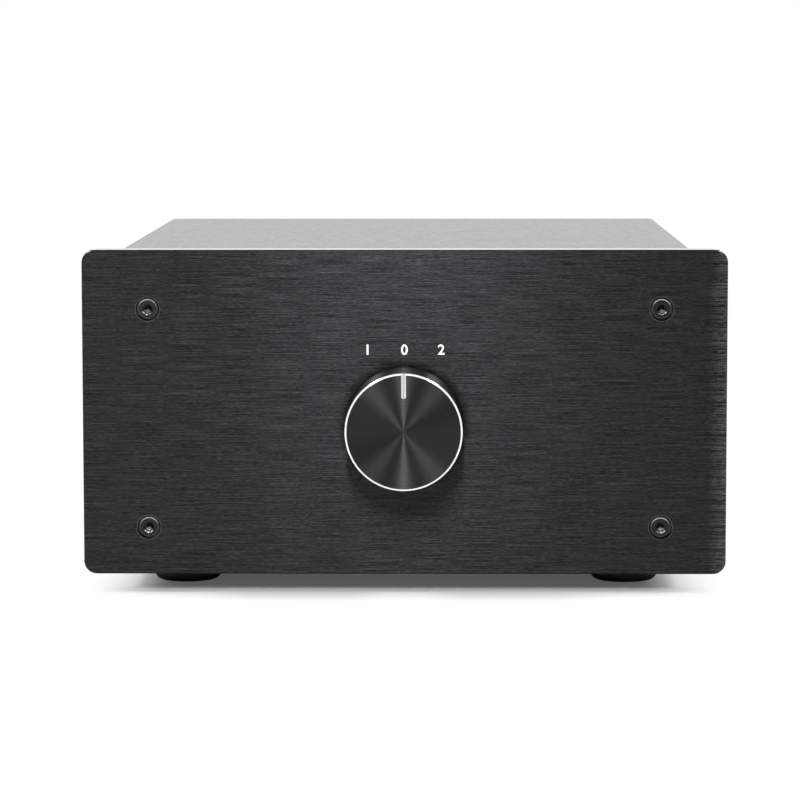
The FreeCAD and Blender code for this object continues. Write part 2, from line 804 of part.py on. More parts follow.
def wafer_outline(y0, y1):
    """Round plate with an ear at each tie screw, and the tie screws' holes."""
    disc = rod_y(wafer_radius, y0, y1)
    bar = block(-tie_screw_radius, tie_screw_radius, y0, y1, -wafer_ear_radius,
                wafer_ear_radius)
    bar.rotate(Vector(0, 0, 0), Vector(0, 1, 0), -tie_screw_angle)
    ears = [rod_y(wafer_ear_radius, y0, y1, x, z - axis_z) for x, z in tie_places]
    holes = [rod_y(screw_diameter / 2.0 + assembly_clearance, y0 - overcut, y1 + overcut, x, z - axis_z)
             for x, z in tie_places]
    plate = cut_all(fused(disc, bar, *ears), holes)
    plate.translate(Vector(0, 0, axis_z))
    return plate


def stop_pin_angle():
    """Angle from the tab to a pin's centre when the tab's flank touches the pin."""
    offset = stop_tab_width / 2.0 + stop_pin_diameter / 2.0 + assembly_clearance
    return index_angle + math.degrees(math.asin(offset / stop_pin_radius))


def stop_pin_places():
    places = []
    for sign in (-1, 1):
        angle = math.radians(-90 + sign * stop_pin_angle())
        places.append((stop_pin_radius * math.cos(angle),
                       axis_z + stop_pin_radius * math.sin(angle)))
    return places


def detent_nose_z():
    """Lowest point of the spring's nose, in the notch at the top of the index wheel."""
    return axis_z + index_wheel_root_radius + assembly_clearance


def spring_rivet_places():
    strip_top = detent_nose_z() + detent_nose_depth + detent_strip_thickness
    height = strip_top + assembly_clearance + spring_rivet_diameter / 2.0
    return [(sign * detent_half_span, height) for sign in (-1, 1)]


def switch_plate():
    plate = wafer_outline(plate_front, plate_rear)
    holes = [rod_y(bushing_spigot_diameter / 2.0 + assembly_clearance, plate_front - overcut,
                   plate_rear + overcut, 0, axis_z)]
    for x, z in stop_pin_places():
        holes.append(rod_y(stop_pin_diameter / 2.0 + assembly_clearance, plate_front - overcut,
                           plate_rear + overcut, x, z))
    for x, z in spring_rivet_places():
        holes.append(rod_y(spring_rivet_diameter / 2.0 + assembly_clearance, plate_front - overcut,
                           plate_rear + overcut, x, z))
    return [cut_all(plate, holes)]


def stop_pins():
    end = wheel_rear + screw_end_reach
    return [rod_y(stop_pin_diameter / 2.0, plate_front, end, x, z)
            for x, z in stop_pin_places()]


def spring_rivets():
    """Headed pins that the detent spring bears up against."""
    end = wheel_rear + assembly_clearance
    return [fused(rod_y(spring_rivet_diameter / 2.0, plate_front, end, x, z),
                  rod_y(spring_rivet_head_diameter / 2.0, end,
                        end + spring_rivet_head_thickness, x, z))
            for x, z in spring_rivet_places()]


def detent_spring():
    """Flat strip under two pins, with a nose pressed down for the notches."""
    low = detent_nose_z()
    high = low + detent_nose_depth
    span = detent_half_span + spring_rivet_diameter
    nose = detent_nose_half_width
    t = detent_strip_thickness
    flat_nose = detent_nose_flat / 2.0
    slant = math.atan2(detent_nose_depth, nose - flat_nose)
    shift = t * math.tan(slant / 2.0)
    y = wheel_front
    points = [(-span, high), (-nose, high), (-flat_nose, low), (flat_nose, low),
              (nose, high), (span, high), (span, high + t), (nose - shift, high + t),
              (flat_nose - shift, low + t), (-flat_nose + shift, low + t),
              (-nose + shift, high + t), (-span, high + t)]
    face = polygon_face([Vector(px, y, pz) for px, pz in points])
    return [face.extrude(Vector(0, index_wheel_thickness, 0))]


def index_wheel():
    """Twelve-notch wheel with a stop tab, driven by the shaft's flats."""
    positions = int(round(360.0 / index_angle))
    points = []
    floor = index_notch_floor / 2.0
    land = 0.5 - index_wheel_land / 2.0
    for index in range(positions):
        for offset, radius in ((-floor, index_wheel_root_radius),
                               (floor, index_wheel_root_radius),
                               (land, index_wheel_tip_radius),
                               (1.0 - land, index_wheel_tip_radius)):
            angle = math.radians(90 + (index + offset) * 360.0 / positions)
            points.append(Vector(radius * math.cos(angle), wheel_front,
                                 radius * math.sin(angle)))
    star = polygon_face(points).extrude(Vector(0, index_wheel_thickness, 0))
    tab = block(-stop_tab_width / 2.0, stop_tab_width / 2.0, wheel_front, wheel_rear,
                -stop_tab_reach, -stop_tab_root)
    wheel = fused(star, tab).cut(double_d(shaft_across_flats, wheel_front, wheel_rear,
                                          assembly_clearance))
    wheel.translate(Vector(0, 0, axis_z))
    return [wheel]


def wafer_fronts():
    return [first_wafer + index * wafer_pitch for index in range(wafer_count)]


def wafer_stators():
    stators = []
    for y in wafer_fronts():
        plate = wafer_outline(y, y + wafer_thickness)
        stators.append(plate.cut(rod_y(rotor_radius + rotor_gap, y - overcut,
                                       y + wafer_thickness + overcut, 0, axis_z)))
    return stators


def wafer_rotors():
    rotors = []
    for y in wafer_fronts():
        end = y + wafer_thickness + rotor_proud
        disc = rod_y(rotor_radius, y, end)
        disc = disc.cut(double_d(shaft_across_flats, y, end, assembly_clearance))
        disc.translate(Vector(0, 0, axis_z))
        rotors.append(disc)
    return rotors


def rotor_contacts():
    """Ring on each rotor, with a tab one step short of each input contact."""
    plates = []
    half = rotor_contact_tab_width / 2.0
    root = (rotor_contact_inner_radius + rotor_contact_ring_radius) / 2.0
    for y in wafer_fronts():
        y0 = y + wafer_thickness + rotor_proud
        y1 = y0 + rotor_contact_thickness
        ring = rod_y(rotor_contact_ring_radius, y0, y1)
        tabs = []
        for angle in (index_angle, 180.0 - index_angle):
            tab = block(root, rotor_contact_tab_radius, y0, y1, -half, half)
            tab.rotate(Vector(0, 0, 0), Vector(0, 1, 0), -angle)
            tabs.append(tab)
        plate = fused(ring, *tabs).cut(rod_y(rotor_contact_inner_radius, y0 - overcut, y1 + overcut))
        plate.translate(Vector(0, 0, axis_z))
        plates.append(plate)
    return plates


def stator_contact(y, tip):
    """Stepped leaf along +X: its jaw reaches over the rotor's contact, its lug outward."""
    face = y + wafer_thickness
    jaw = face + rotor_proud + rotor_contact_thickness + assembly_clearance
    step = rotor_contact_tab_radius + contact_step_gap
    t = contact_thickness
    points = [(tip, jaw), (step, jaw), (step, face), (contact_lug_radius, face),
              (contact_lug_radius, face + t), (step + t, face + t), (step + t, jaw + t),
              (tip, jaw + t)]
    half = contact_width / 2.0
    leaf = polygon_face([Vector(px, py, -half) for px, py in points])
    leaf = leaf.extrude(Vector(0, 0, contact_width))
    hole_x = contact_lug_radius - contact_lug_hole_inset
    rivet_x = (step + t + wafer_radius) / 2.0
    rivet = rod_y(contact_rivet_diameter / 2.0, face + t, face + 2 * t, rivet_x, 0)
    return fused(leaf, rivet).cut(rod_y(contact_lug_hole_diameter / 2.0, face - overcut,
                                        face + t + overcut, hole_x, 0))


def stator_contacts():
    contacts = []
    for y in wafer_fronts():
        for angle, tip in ((0.0, contact_tip_input), (90.0, contact_tip_common),
                           (180.0, contact_tip_input)):
            contacts.append(turned_to(stator_contact(y, tip), 0, 0, axis_z,
                                      Vector(0, 1, 0), -angle))
    return contacts


def wafer_spacers():
    bore = screw_diameter / 2.0 + assembly_clearance
    spacers = []
    start = plate_rear
    for y in wafer_fronts():
        for x, z in tie_places:
            spacers.append(tube_y(spacer_diameter / 2.0, bore, start, y, x, z))
        start = y + wafer_thickness
    return spacers


def tie_screws():
    end = last_wafer_rear + nut_height + screw_end_reach
    return [rod_y(screw_diameter / 2.0, plate_front, end, x, z) for x, z in tie_places]


def tie_nuts():
    bore = screw_diameter / 2.0 + assembly_clearance
    return [hex_nut_y(nut_width, bore, last_wafer_rear, last_wafer_rear + nut_height, x, z)
            for x, z in tie_places]


# ---------------------------------------------------------------- binding posts

def post():
    """Turned post on the Y axis, its rear wall's outside at y = 0."""
    stud = post_stud_diameter / 2.0
    collar = post_collar_diameter / 2.0
    thread = post_thread_diameter / 2.0
    socket = post_socket_diameter / 2.0
    seat = outer_insulator_thickness
    top = seat + post_collar_thickness
    end = top + post_thread_length
    start = (-chassis_sheet - inner_insulator_thickness - tag_thickness
             - terminal_nut_height - post_tail)
    floor = end - post_socket_depth
    edge = post_tip_chamfer
    body = revolved_y([(0, start), (stud, start), (stud, seat), (collar, seat), (collar, top),
                       (thread, top), (thread, end - edge), (thread - edge, end),
                       (socket, end), (socket, floor), (0, floor)])
    height = top + post_cross_hole_height
    cross = Part.makeCylinder(post_cross_hole_diameter / 2.0, 4 * thread,
                              Vector(0, height, -2 * thread), Vector(0, 0, 1))
    return body.cut(cross)


def outer_insulator():
    """Flange outside the wall, with a boss through the wall's hole."""
    outer = insulator_diameter / 2.0
    boss = terminal_hole_diameter / 2.0 - assembly_clearance
    bore = post_stud_diameter / 2.0 + assembly_clearance
    edge = outer_insulator_edge
    top = outer_insulator_thickness
    return revolved_y([(bore, -chassis_sheet), (boss, -chassis_sheet), (boss, 0), (outer, 0),
                       (outer, top - edge), (outer - edge, top), (bore, top)])


def inner_insulator():
    bore = post_stud_diameter / 2.0 + assembly_clearance
    y1 = -chassis_sheet
    return tube_y(insulator_diameter / 2.0, bore, y1 - inner_insulator_thickness, y1)


def solder_tag():
    """Flat ring with a tail along +Z and a hole for the wire."""
    bore = post_stud_diameter / 2.0 + assembly_clearance
    y1 = -chassis_sheet - inner_insulator_thickness
    y0 = y1 - tag_thickness
    half = tag_tail_width / 2.0
    tail = fused(block(-half, half, y0, y1, 0, tag_reach - half),
                 rod_y(half, y0, y1, 0, tag_reach - half))
    plate = fused(rod_y(tag_ring_diameter / 2.0, y0, y1), tail)
    return cut_all(plate, [rod_y(bore, y0 - overcut, y1 + overcut),
                           rod_y(tag_hole_diameter / 2.0, y0 - overcut, y1 + overcut, 0,
                                 tag_hole_reach)])


def terminal_nut():
    bore = post_stud_diameter / 2.0 + assembly_clearance
    y1 = -chassis_sheet - inner_insulator_thickness - tag_thickness
    return hex_nut_y(terminal_nut_width, bore, y1 - terminal_nut_height, y1)


def sleeve_radii():
    inner = post_thread_diameter / 2.0 + assembly_clearance
    return inner, inner + sleeve_wall


def sleeve():
    """Threaded metal lining of a cap, on the Y axis with the wall's outside at y = 0."""
    inner, outer = sleeve_radii()
    start = cap_front - rear_face + sleeve_setback
    return tube_y(outer, inner, start, start + sleeve_length)


def cap():
    """Fluted cap: round skirt at the mouth, a step behind the sleeve, open for a plug."""
    outer = cap_diameter / 2.0
    lining = sleeve_radii()[1] + assembly_clearance
    front = cap_front - rear_face
    end = front + cap_length
    step = front + sleeve_setback + sleeve_length + assembly_clearance
    throat = lining - cap_shoulder_wall
    entry = cap_entry_diameter / 2.0
    edge = cap_edge_chamfer
    body = revolved_y([(lining, front), (outer, front), (outer, end - edge),
                       (outer - edge, end), (entry, end), (entry, end - cap_end_wall),
                       (throat, end - cap_end_wall), (throat, step), (lining, step)])
    flute = cap_flute_diameter / 2.0
    reach = outer + flute - cap_flute_depth
    flutes = []
    for index in range(cap_flutes):
        angle = math.radians(360.0 * index / cap_flutes)
        flutes.append(rod_y(flute, front + cap_skirt_length, end + overcut,
                            reach * math.cos(angle), reach * math.sin(angle)))
    return cut_all(body, flutes)


def at_terminals(make, colour=None, flip=False):
    """A copy of one piece at each binding post, or at the posts of one colour."""
    shape = make()
    copies = []
    for name, _, x, z, up, _ in terminals():
        if colour and not name.endswith(colour):
            continue
        angle = 180.0 if flip and up > 0 else 0.0
        copies.append(turned_to(shape, x, rear_face, z, Vector(0, 1, 0), angle))
    return copies


# ---------------------------------------------------------------- wires

def wire_run(start, end):
    step = end - start
    return Part.makeCylinder(wire_diameter / 2.0, step.Length, start, step)


def wire_bend(first, corner, radius, on, turn):
    """Ring section from `first`, through `turn` degrees towards the direction `on`."""
    along = (corner - first).normalize()
    axis = along.cross(on).normalize()
    centre = first + axis.cross(along) * radius
    section = Part.Face(Part.Wire(Part.makeCircle(wire_diameter / 2.0, first, along)))
    return section.revolve(centre, axis, turn)


def bent_wire(points):
    """Round wire along straight runs joined by tangent arcs."""
    pieces = []
    start = points[0]
    for before, corner, after in zip(points, points[1:], points[2:]):
        back = (before - corner).normalize()
        on = (after - corner).normalize()
        turn = math.pi - back.getAngle(on)
        room = wire_bend_share * min((before - corner).Length, (after - corner).Length)
        radius = min(wire_bend_radius, room / math.tan(turn / 2.0))
        leg = radius * math.tan(turn / 2.0)
        first = corner + back * leg
        pieces.append(wire_run(start, first))
        pieces.append(wire_bend(first, corner, radius, on, math.degrees(turn)))
        start = corner + on * leg
    pieces.append(wire_run(start, points[-1]))
    return fused(*pieces)


def wire_route(group, x, z, up, pole):
    """Points from a solder tag's tail to its pole's lug on the switch."""
    tail_z = z - up * tag_hole_reach
    lug_y = wafer_fronts()[pole] + wafer_thickness + contact_thickness / 2.0
    start = Vector(x, tag_front, tail_z)
    if group == "speaker":
        side = math.copysign(1, x)
        lane = side * wire_lane_spacing * (2 if pole % 2 == 0 else 1)
        high = axis_z + contact_lug_radius + wire_lane_height
        rise = tag_front - wire_rise_start
        return [start, Vector(x, rise, tail_z), Vector(lane, rise - wire_rise_length, high),
                Vector(lane, lug_y, high),
                Vector(0, lug_y, axis_z + contact_lug_radius + wire_stub),
                Vector(0, lug_y, axis_z + contact_lug_radius)]
    side = -1 if group == "amp_1" else 1
    return [start, Vector(x, lug_y, tail_z),
            Vector(side * (contact_lug_radius + wire_stub), lug_y, axis_z),
            Vector(side * contact_lug_radius, lug_y, axis_z)]


def wires(colour):
    return [bent_wire(wire_route(group, x, z, up, pole))
            for name, group, x, z, up, pole in terminals() if name.endswith(colour)]


# ---------------------------------------------------------------- the whole object

def nodes():
    made = {
        "front_panel": front_panel(),
        "front_panel_screws": front_panel_screws(),
        "press_nuts": press_nuts(),
        "knob": knob(),
        "knob_set_screw": knob_set_screw(),
        "switch_shaft": switch_shaft(),
        "shaft_clip": shaft_clip(),
        "switch_bushing": switch_bushing(),
        "switch_lock_washer": switch_lock_washer(),
        "switch_nut": switch_nut(),
        "switch_plate": switch_plate(),
        "stop_pins": stop_pins(),
        "spring_rivets": spring_rivets(),
        "detent_spring": detent_spring(),
        "index_wheel": index_wheel(),
        "wafer_stators": wafer_stators(),
        "wafer_rotors": wafer_rotors(),
        "rotor_contacts": rotor_contacts(),
        "stator_contacts": stator_contacts(),
        "wafer_spacers": wafer_spacers(),
        "tie_screws": tie_screws(),
        "tie_nuts": tie_nuts(),
        "chassis_tray": chassis_tray(),
        "top_cover": top_cover(),
        "cover_screws": cover_screws(),
        "feet": feet(),
        "foot_screws": foot_screws() + foot_washers(),
        "foot_nuts": foot_nuts(),
        "terminal_posts": at_terminals(post),
        "red_insulators": at_terminals(outer_insulator, "red"),
        "black_insulators": at_terminals(outer_insulator, "black"),
        "inner_insulators": at_terminals(inner_insulator),
        "solder_tags": at_terminals(solder_tag, flip=True),
        "terminal_nuts": at_terminals(terminal_nut),
        "red_wires": wires("red"),
        "black_wires": wires("black"),
    }
    lining = sleeve()
    shell = cap()
    for name, _, x, z, _, _ in terminals():
        made[f"sleeve_{name}"] = [turned_to(lining, x, rear_face, z, Vector(0, 1, 0), 0)]
        made[f"cap_{name}"] = [turned_to(shell, x, rear_face, z, Vector(0, 1, 0), 0)]
    return made


def main():
    os.makedirs("parts", exist_ok=True)
    for name, solids in nodes().items():
        shape = solids[0] if len(solids) == 1 else Part.makeCompound(solids)
        shape.exportStep(f"parts/{name}.step")


main()
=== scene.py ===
"""Looks of the speaker selector switch: materials, printed numerals, floor, light, camera."""
import json
import math

import bpy
from mathutils import Matrix, Vector


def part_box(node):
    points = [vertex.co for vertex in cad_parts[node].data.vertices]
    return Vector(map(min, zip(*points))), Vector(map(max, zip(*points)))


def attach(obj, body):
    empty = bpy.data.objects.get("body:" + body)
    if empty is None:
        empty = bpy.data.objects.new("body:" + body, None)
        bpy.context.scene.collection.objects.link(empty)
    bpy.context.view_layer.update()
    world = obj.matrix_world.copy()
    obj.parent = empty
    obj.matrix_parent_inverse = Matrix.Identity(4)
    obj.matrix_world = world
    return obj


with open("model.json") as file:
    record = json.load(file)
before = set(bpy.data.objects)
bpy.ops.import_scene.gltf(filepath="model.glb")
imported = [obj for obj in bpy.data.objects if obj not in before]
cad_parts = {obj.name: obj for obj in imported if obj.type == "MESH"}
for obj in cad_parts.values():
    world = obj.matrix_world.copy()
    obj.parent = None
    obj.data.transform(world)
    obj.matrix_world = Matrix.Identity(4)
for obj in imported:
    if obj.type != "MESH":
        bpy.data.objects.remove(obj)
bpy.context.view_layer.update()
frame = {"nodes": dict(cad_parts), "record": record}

MM = 0.001

panel_low, panel_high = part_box("front_panel")
knob_low, knob_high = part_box("knob")
screws_low, screws_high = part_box("front_panel_screws")
panel_front = panel_low.y
knob_axis_z = (knob_low.z + knob_high.z) / 2
knob_base_radius = (knob_high.x - knob_low.x) / 2


def grey(level):
    return (level,) * 3


def scaled(values, by):
    return tuple(by * value for value in values)


# Noise: most of its values lie between these
NOISE_LOW = 0.3
NOISE_HIGH = 0.7

# Sockets of Blender's Mix node where it mixes colours
MIX_SHARE = 0
MIX_COLOURS = (6, 7)
MIX_RESULT = 2

# Panel: brushing, painted shade in the gap behind the knob, painted glints at the right edge
BRUSH_FINE = (1.6 * MM, 1.6 * MM, 0.16 * MM)
BRUSH_BROAD = (13 * MM, 13 * MM, 0.2 * MM)
BRUSH_BROAD_SHARE = 0.45
BRUSH_DEPTH = 0.012 * MM
BRUSH_ROUGHNESS = (0.22, 0.30)
BRUSH_LEAN = 0.05                 # of the tangent along Y, for faces that are level
# painted shade around the knob's base: its darkest share of the colour, and how far out it fades
GAP_PAINTED_SHADE = 0.25
GAP_REACH = 2.3 * MM
GLINT_REACH = 5 * MM
SIDE_FACING = 0.4                 # a side's normal has less than this along Y
SIDE_POLISH = 0.6                 # share of the roughness that the sides lose
PANEL_STREAKS = ((0.008, 0.008, 0.0085), (0.057, 0.057, 0.06))
STREAK_RANGE = (0.37, 0.63)       # of the brushing's noise
GLINT_RANGE = (0.45, 0.6)
PANEL_SIDES = ((0.03, 0.03, 0.031), (0.04, 0.04, 0.042))
# colour of the painted glints
PANEL_GLINT = (0.16, 0.16, 0.165)
PANEL_RING_GREY = (0.12, 0.12, 0.125)

# Panel screws
SCREW_HEAD_RADIUS = 5.5 / 2 * MM
SCREW_HEAD_EDGE = 0.3 * MM
SOCKET_MOUTH_RADIUS = 1.62 * MM
NO_INNER_RADIUS = -1.0
COUNTERBORE_RADIUS = 6.5 / 2 * MM
COUNTERBORE_RING = (0.02 * MM, 0.12 * MM)             # inside and outside of its edge
SCREW_HEAD_RING = (1.1 * SCREW_HEAD_EDGE, 0.02 * MM)  # inside and outside of its edge
SCREW_BLACK = (grey(0.022), (0.05, 0.05, 0.052))
SCREW_EDGE_WEAR_AND_HIGHLIGHT = (grey(0.07), grey(0.35))                 # the first a little wear, the second a painted highlight where the edge faces up
SOCKET_LIT = grey(0.2)
FACING_UP = (0.2, 0.6)                                # from not at all to fully
OXIDE_GRAIN = 0.4 * MM
OXIDE_DEPTH = 0.01 * MM
OXIDE_ROUGHNESS = (0.16, 0.26)

# Knob: turning marks, and its bare parts
KNOB_TAPER = 0.15 * MM                      # of its radius, from base to front
knob_front_radius = knob_base_radius - KNOB_TAPER
TURNING_FINE = 0.16 * MM
TURNING_BROAD = 0.5 * MM
TURNING_BROAD_SHARE = 0.5
TURNING_DEPTH = 0.012 * MM
RIM_CUT = 0.65 * MM
RIM_BARE = (0.05 * MM, 0.53 * MM)           # in from the rim's outer edge
RIM_BARE_DEPTH = 1.02 * RIM_CUT             # behind the knob's front, just past the cut
SLOT_HALF_WIDTH = 0.62 * MM
SLOT_DULL_HALF_WIDTH = 0.25 * MM
SLOT_BARE = (0.02 * MM, 0.6 * MM)           # behind the knob's front
KNOB_BLACK = (grey(0.034), grey(0.042))
KNOB_ROUGHNESS = (0.29, 0.39)
CUT_METAL_PAINTED_LIGHT = (grey(0.9), grey(0.46))         # bare metal, painted light: lighter at the knob's lower side, darker at its upper side
SLOT_DULL = grey(0.3)
BARE_LOSS = 0.85                            # of the metallic share, on the knob's bare metal, the screws' edge rings and their sockets' up-facing parts
BARE_POLISH = -0.1                          # added to the roughness there

# Powder coat
COAT_PEEL = 0.45 * MM
COAT_PEEL_DEPTH = 0.03 * MM
COAT_PEEL_ROUGHNESS = (-0.05, 0.05)
COAT_CLOUD = 1.8 * MM
COAT_CLOUD_ROUGHNESS = (0.40, 0.52)
COAT_BLACK = (grey(0.015), grey(0.018))

# Plain metal and plating
WEAR_GRAIN = 0.5 * MM
WEAR_DEPTH = 0.006 * MM
WEAR_DARKEST = 0.85               # share of the colour
WEAR_ROUGHNESS = (0.8, 1.25)      # shares of the roughness

# Mouldings
SKIN_GRAIN = 0.3 * MM
SKIN_DEPTH = 0.008 * MM
SKIN_ROUGHNESS = (0.85, 1.2)      # shares of the roughness
SKIN_CLOUD = 4 * MM
SKIN_DARKEST = 0.88               # share of the colour
RUBBER_GRAIN = 0.25 * MM
RUBBER_DEPTH = 0.03 * MM

# Laminate and ink
FIBRE_GRAIN = (1.2 * MM, 0.2 * MM, 0.4 * MM)
FIBRE_DEPTH = 0.01 * MM
FIBRE_BROWN = ((0.22, 0.125, 0.055), (0.36, 0.22, 0.11))
INK_GRAIN = 0.12 * MM
INK_WHITE = (grey(0.74), grey(0.86))

# Numerals
NUMERAL_DROP = 27.25 * MM         # middle of the figures below the panel's top
NUMERAL_HEIGHT = 2.7 * MM
NUMERAL_STEP = 10.0 * MM
NUMERAL_PROUD = 0.02 * MM
NUMERAL_BOLD = 0.03               # of the height, added to each side of a stroke
CAP_HEIGHT_SHARE = 0.70           # of the type's size

# Camera
FOCAL_MM = 157.5
SENSOR_MM = 36.0
CAMERA_X = 12.02 * MM
CAMERA_GAP = 945.76 * MM          # in front of the panel's face
CAMERA_Z = 145.45 * MM
CAMERA_YAW = math.radians(0.801)  # to the left of +Y
CAMERA_PITCH = math.radians(5.601)
CAMERA_ROLL = math.radians(0.052)

# Floor and room
DOME_STRENGTH = 0.5               # as far as it lights the object
ROOM_IN_FRONT = 0.26              # what gloss sees of the room on the knob's side
ROOM_BEHIND = 1.35                # and on the far side
ROOM_TURN = (-0.35, 0.45)         # it changes between these shares of +Y in the direction
FLOOR_SHADE = 0.5                 # the floor's grey, for its bounced light and its shadow
FLOOR_IN_GLOSS = 0.36             # the floor's grey as gloss sees it
FLOOR_RADIUS = 40.0
FLOOR_CORNERS = 96
SHADOW_LIFT = 0.085               # share of white glow, painted light that lightens the floor's shadow under the object
SHADOW_X = (64 * MM, 89 * MM)     # the glow grows over the shadow between these, until the floor is plain white
SHADOW_Y = (105 * MM, 122 * MM)

# Lamps: name, place (m), width and height (m), power (W)
LAMPS_ABOVE = (
    ("lamp_above_left", (-0.85, -0.08, 1.35), (0.45, 0.35), 17.0),
    ("lamp_above_right", (0.85, -0.08, 1.35), (0.45, 0.35), 17.0),
)
LAMPS_IN_FRONT = (
    ("lamp_strip", (-0.017, -1.08, 0.77), (0.05, 0.6), 7.5),
    ("lamp_left", (-0.63, -1.14, 0.68), (0.45, 0.3), 7.2),
    ("lamp_right", (0.62, -1.14, 0.68), (0.45, 0.3), 5.5),
    ("lamp_card", (-0.34, -1.2, 0.08), (0.36, 0.14), 0.3),
)


# ---------------------------------------------------------------- node tools

class Tree:
    """The node tree of a material or of the world, and short calls to build it."""

    def __init__(self, owner, output):
        owner.use_nodes = True
        self.nodes = owner.node_tree.nodes
        self.links = owner.node_tree.links
        self.nodes.clear()
        self.surface = self.nodes.new(output).inputs["Surface"]

    def feed(self, socket, value):
        """Link a node's output to the socket, or set it to a plain value."""
        if isinstance(value, bpy.types.NodeSocket):
            self.links.new(value, socket)
        else:
            socket.default_value = value

    def axes(self, source):
        """The parts of a vector, as X, Y and Z."""
        node = self.nodes.new("ShaderNodeSeparateXYZ")
        self.links.new(source, node.inputs[0])
        return node.outputs

    def coordinates(self, kind):
        """A point's place, or a direction in the world, in the named system."""
        return self.nodes.new("ShaderNodeTexCoord").outputs[kind]

    def rays(self):
        """What kind of ray asks."""
        return self.nodes.new("ShaderNodeLightPath").outputs

    def math(self, operation, *values):
        """One step of arithmetic on plain values and nodes' outputs."""
        node = self.nodes.new("ShaderNodeMath")
        node.operation = operation
        for socket, value in zip(node.inputs, values):
            self.feed(socket, value)
        return node.outputs[0]

    def every(self, *masks):
        """1 where all the masks are 1."""
        result = masks[0]
        for mask in masks[1:]:
            result = self.math("MULTIPLY", result, mask)
        return result

    def between(self, value, low, high):
        """1 where the value lies between two limits."""
        return self.every(self.math("GREATER_THAN", value, low),
                          self.math("LESS_THAN", value, high))

    def within(self, value, reach):
        """1 where the value is nearer to zero than `reach`."""
        return self.math("LESS_THAN", self.math("ABSOLUTE", value), reach)

    def across_y(self, x, z):
        """Distance from an axis along Y."""
        return self.math("SQRT", self.math("ADD", self.math("MULTIPLY", x, x),
                                           self.math("MULTIPLY", z, z)))

    def spread(self, source, low, high, start=NOISE_LOW, end=NOISE_HIGH, smooth=False):
        """Take the source's range from start to end to the range from low to high."""
        node = self.nodes.new("ShaderNodeMapRange")
        if smooth:
            node.interpolation_type = "SMOOTHSTEP"
        self.links.new(source, node.inputs["Value"])
        for socket, value in zip(("From Min", "From Max", "To Min", "To Max"),
                                 (start, end, low, high)):
            node.inputs[socket].default_value = value
        return node.outputs[0]

    def shader(self, kind, socket, value):
        """A plain shader with one socket set or linked."""
        node = self.nodes.new(kind)
        self.feed(node.inputs[socket], value)
        return node.outputs[0]

    def background(self, strength):
        """White light of the world."""
        node = self.nodes.new("ShaderNodeBackground")
        node.inputs["Color"].default_value = (1, 1, 1, 1)
        self.feed(node.inputs["Strength"], strength)
        return node.outputs[0]

    def mix_shaders(self, share, first, second):
        """The first shader where the share is 0, and the second where it is 1."""
        node = self.nodes.new("ShaderNodeMixShader")
        for socket, source in zip(node.inputs, (share, first, second)):
            self.links.new(source, socket)
        return node.outputs[0]


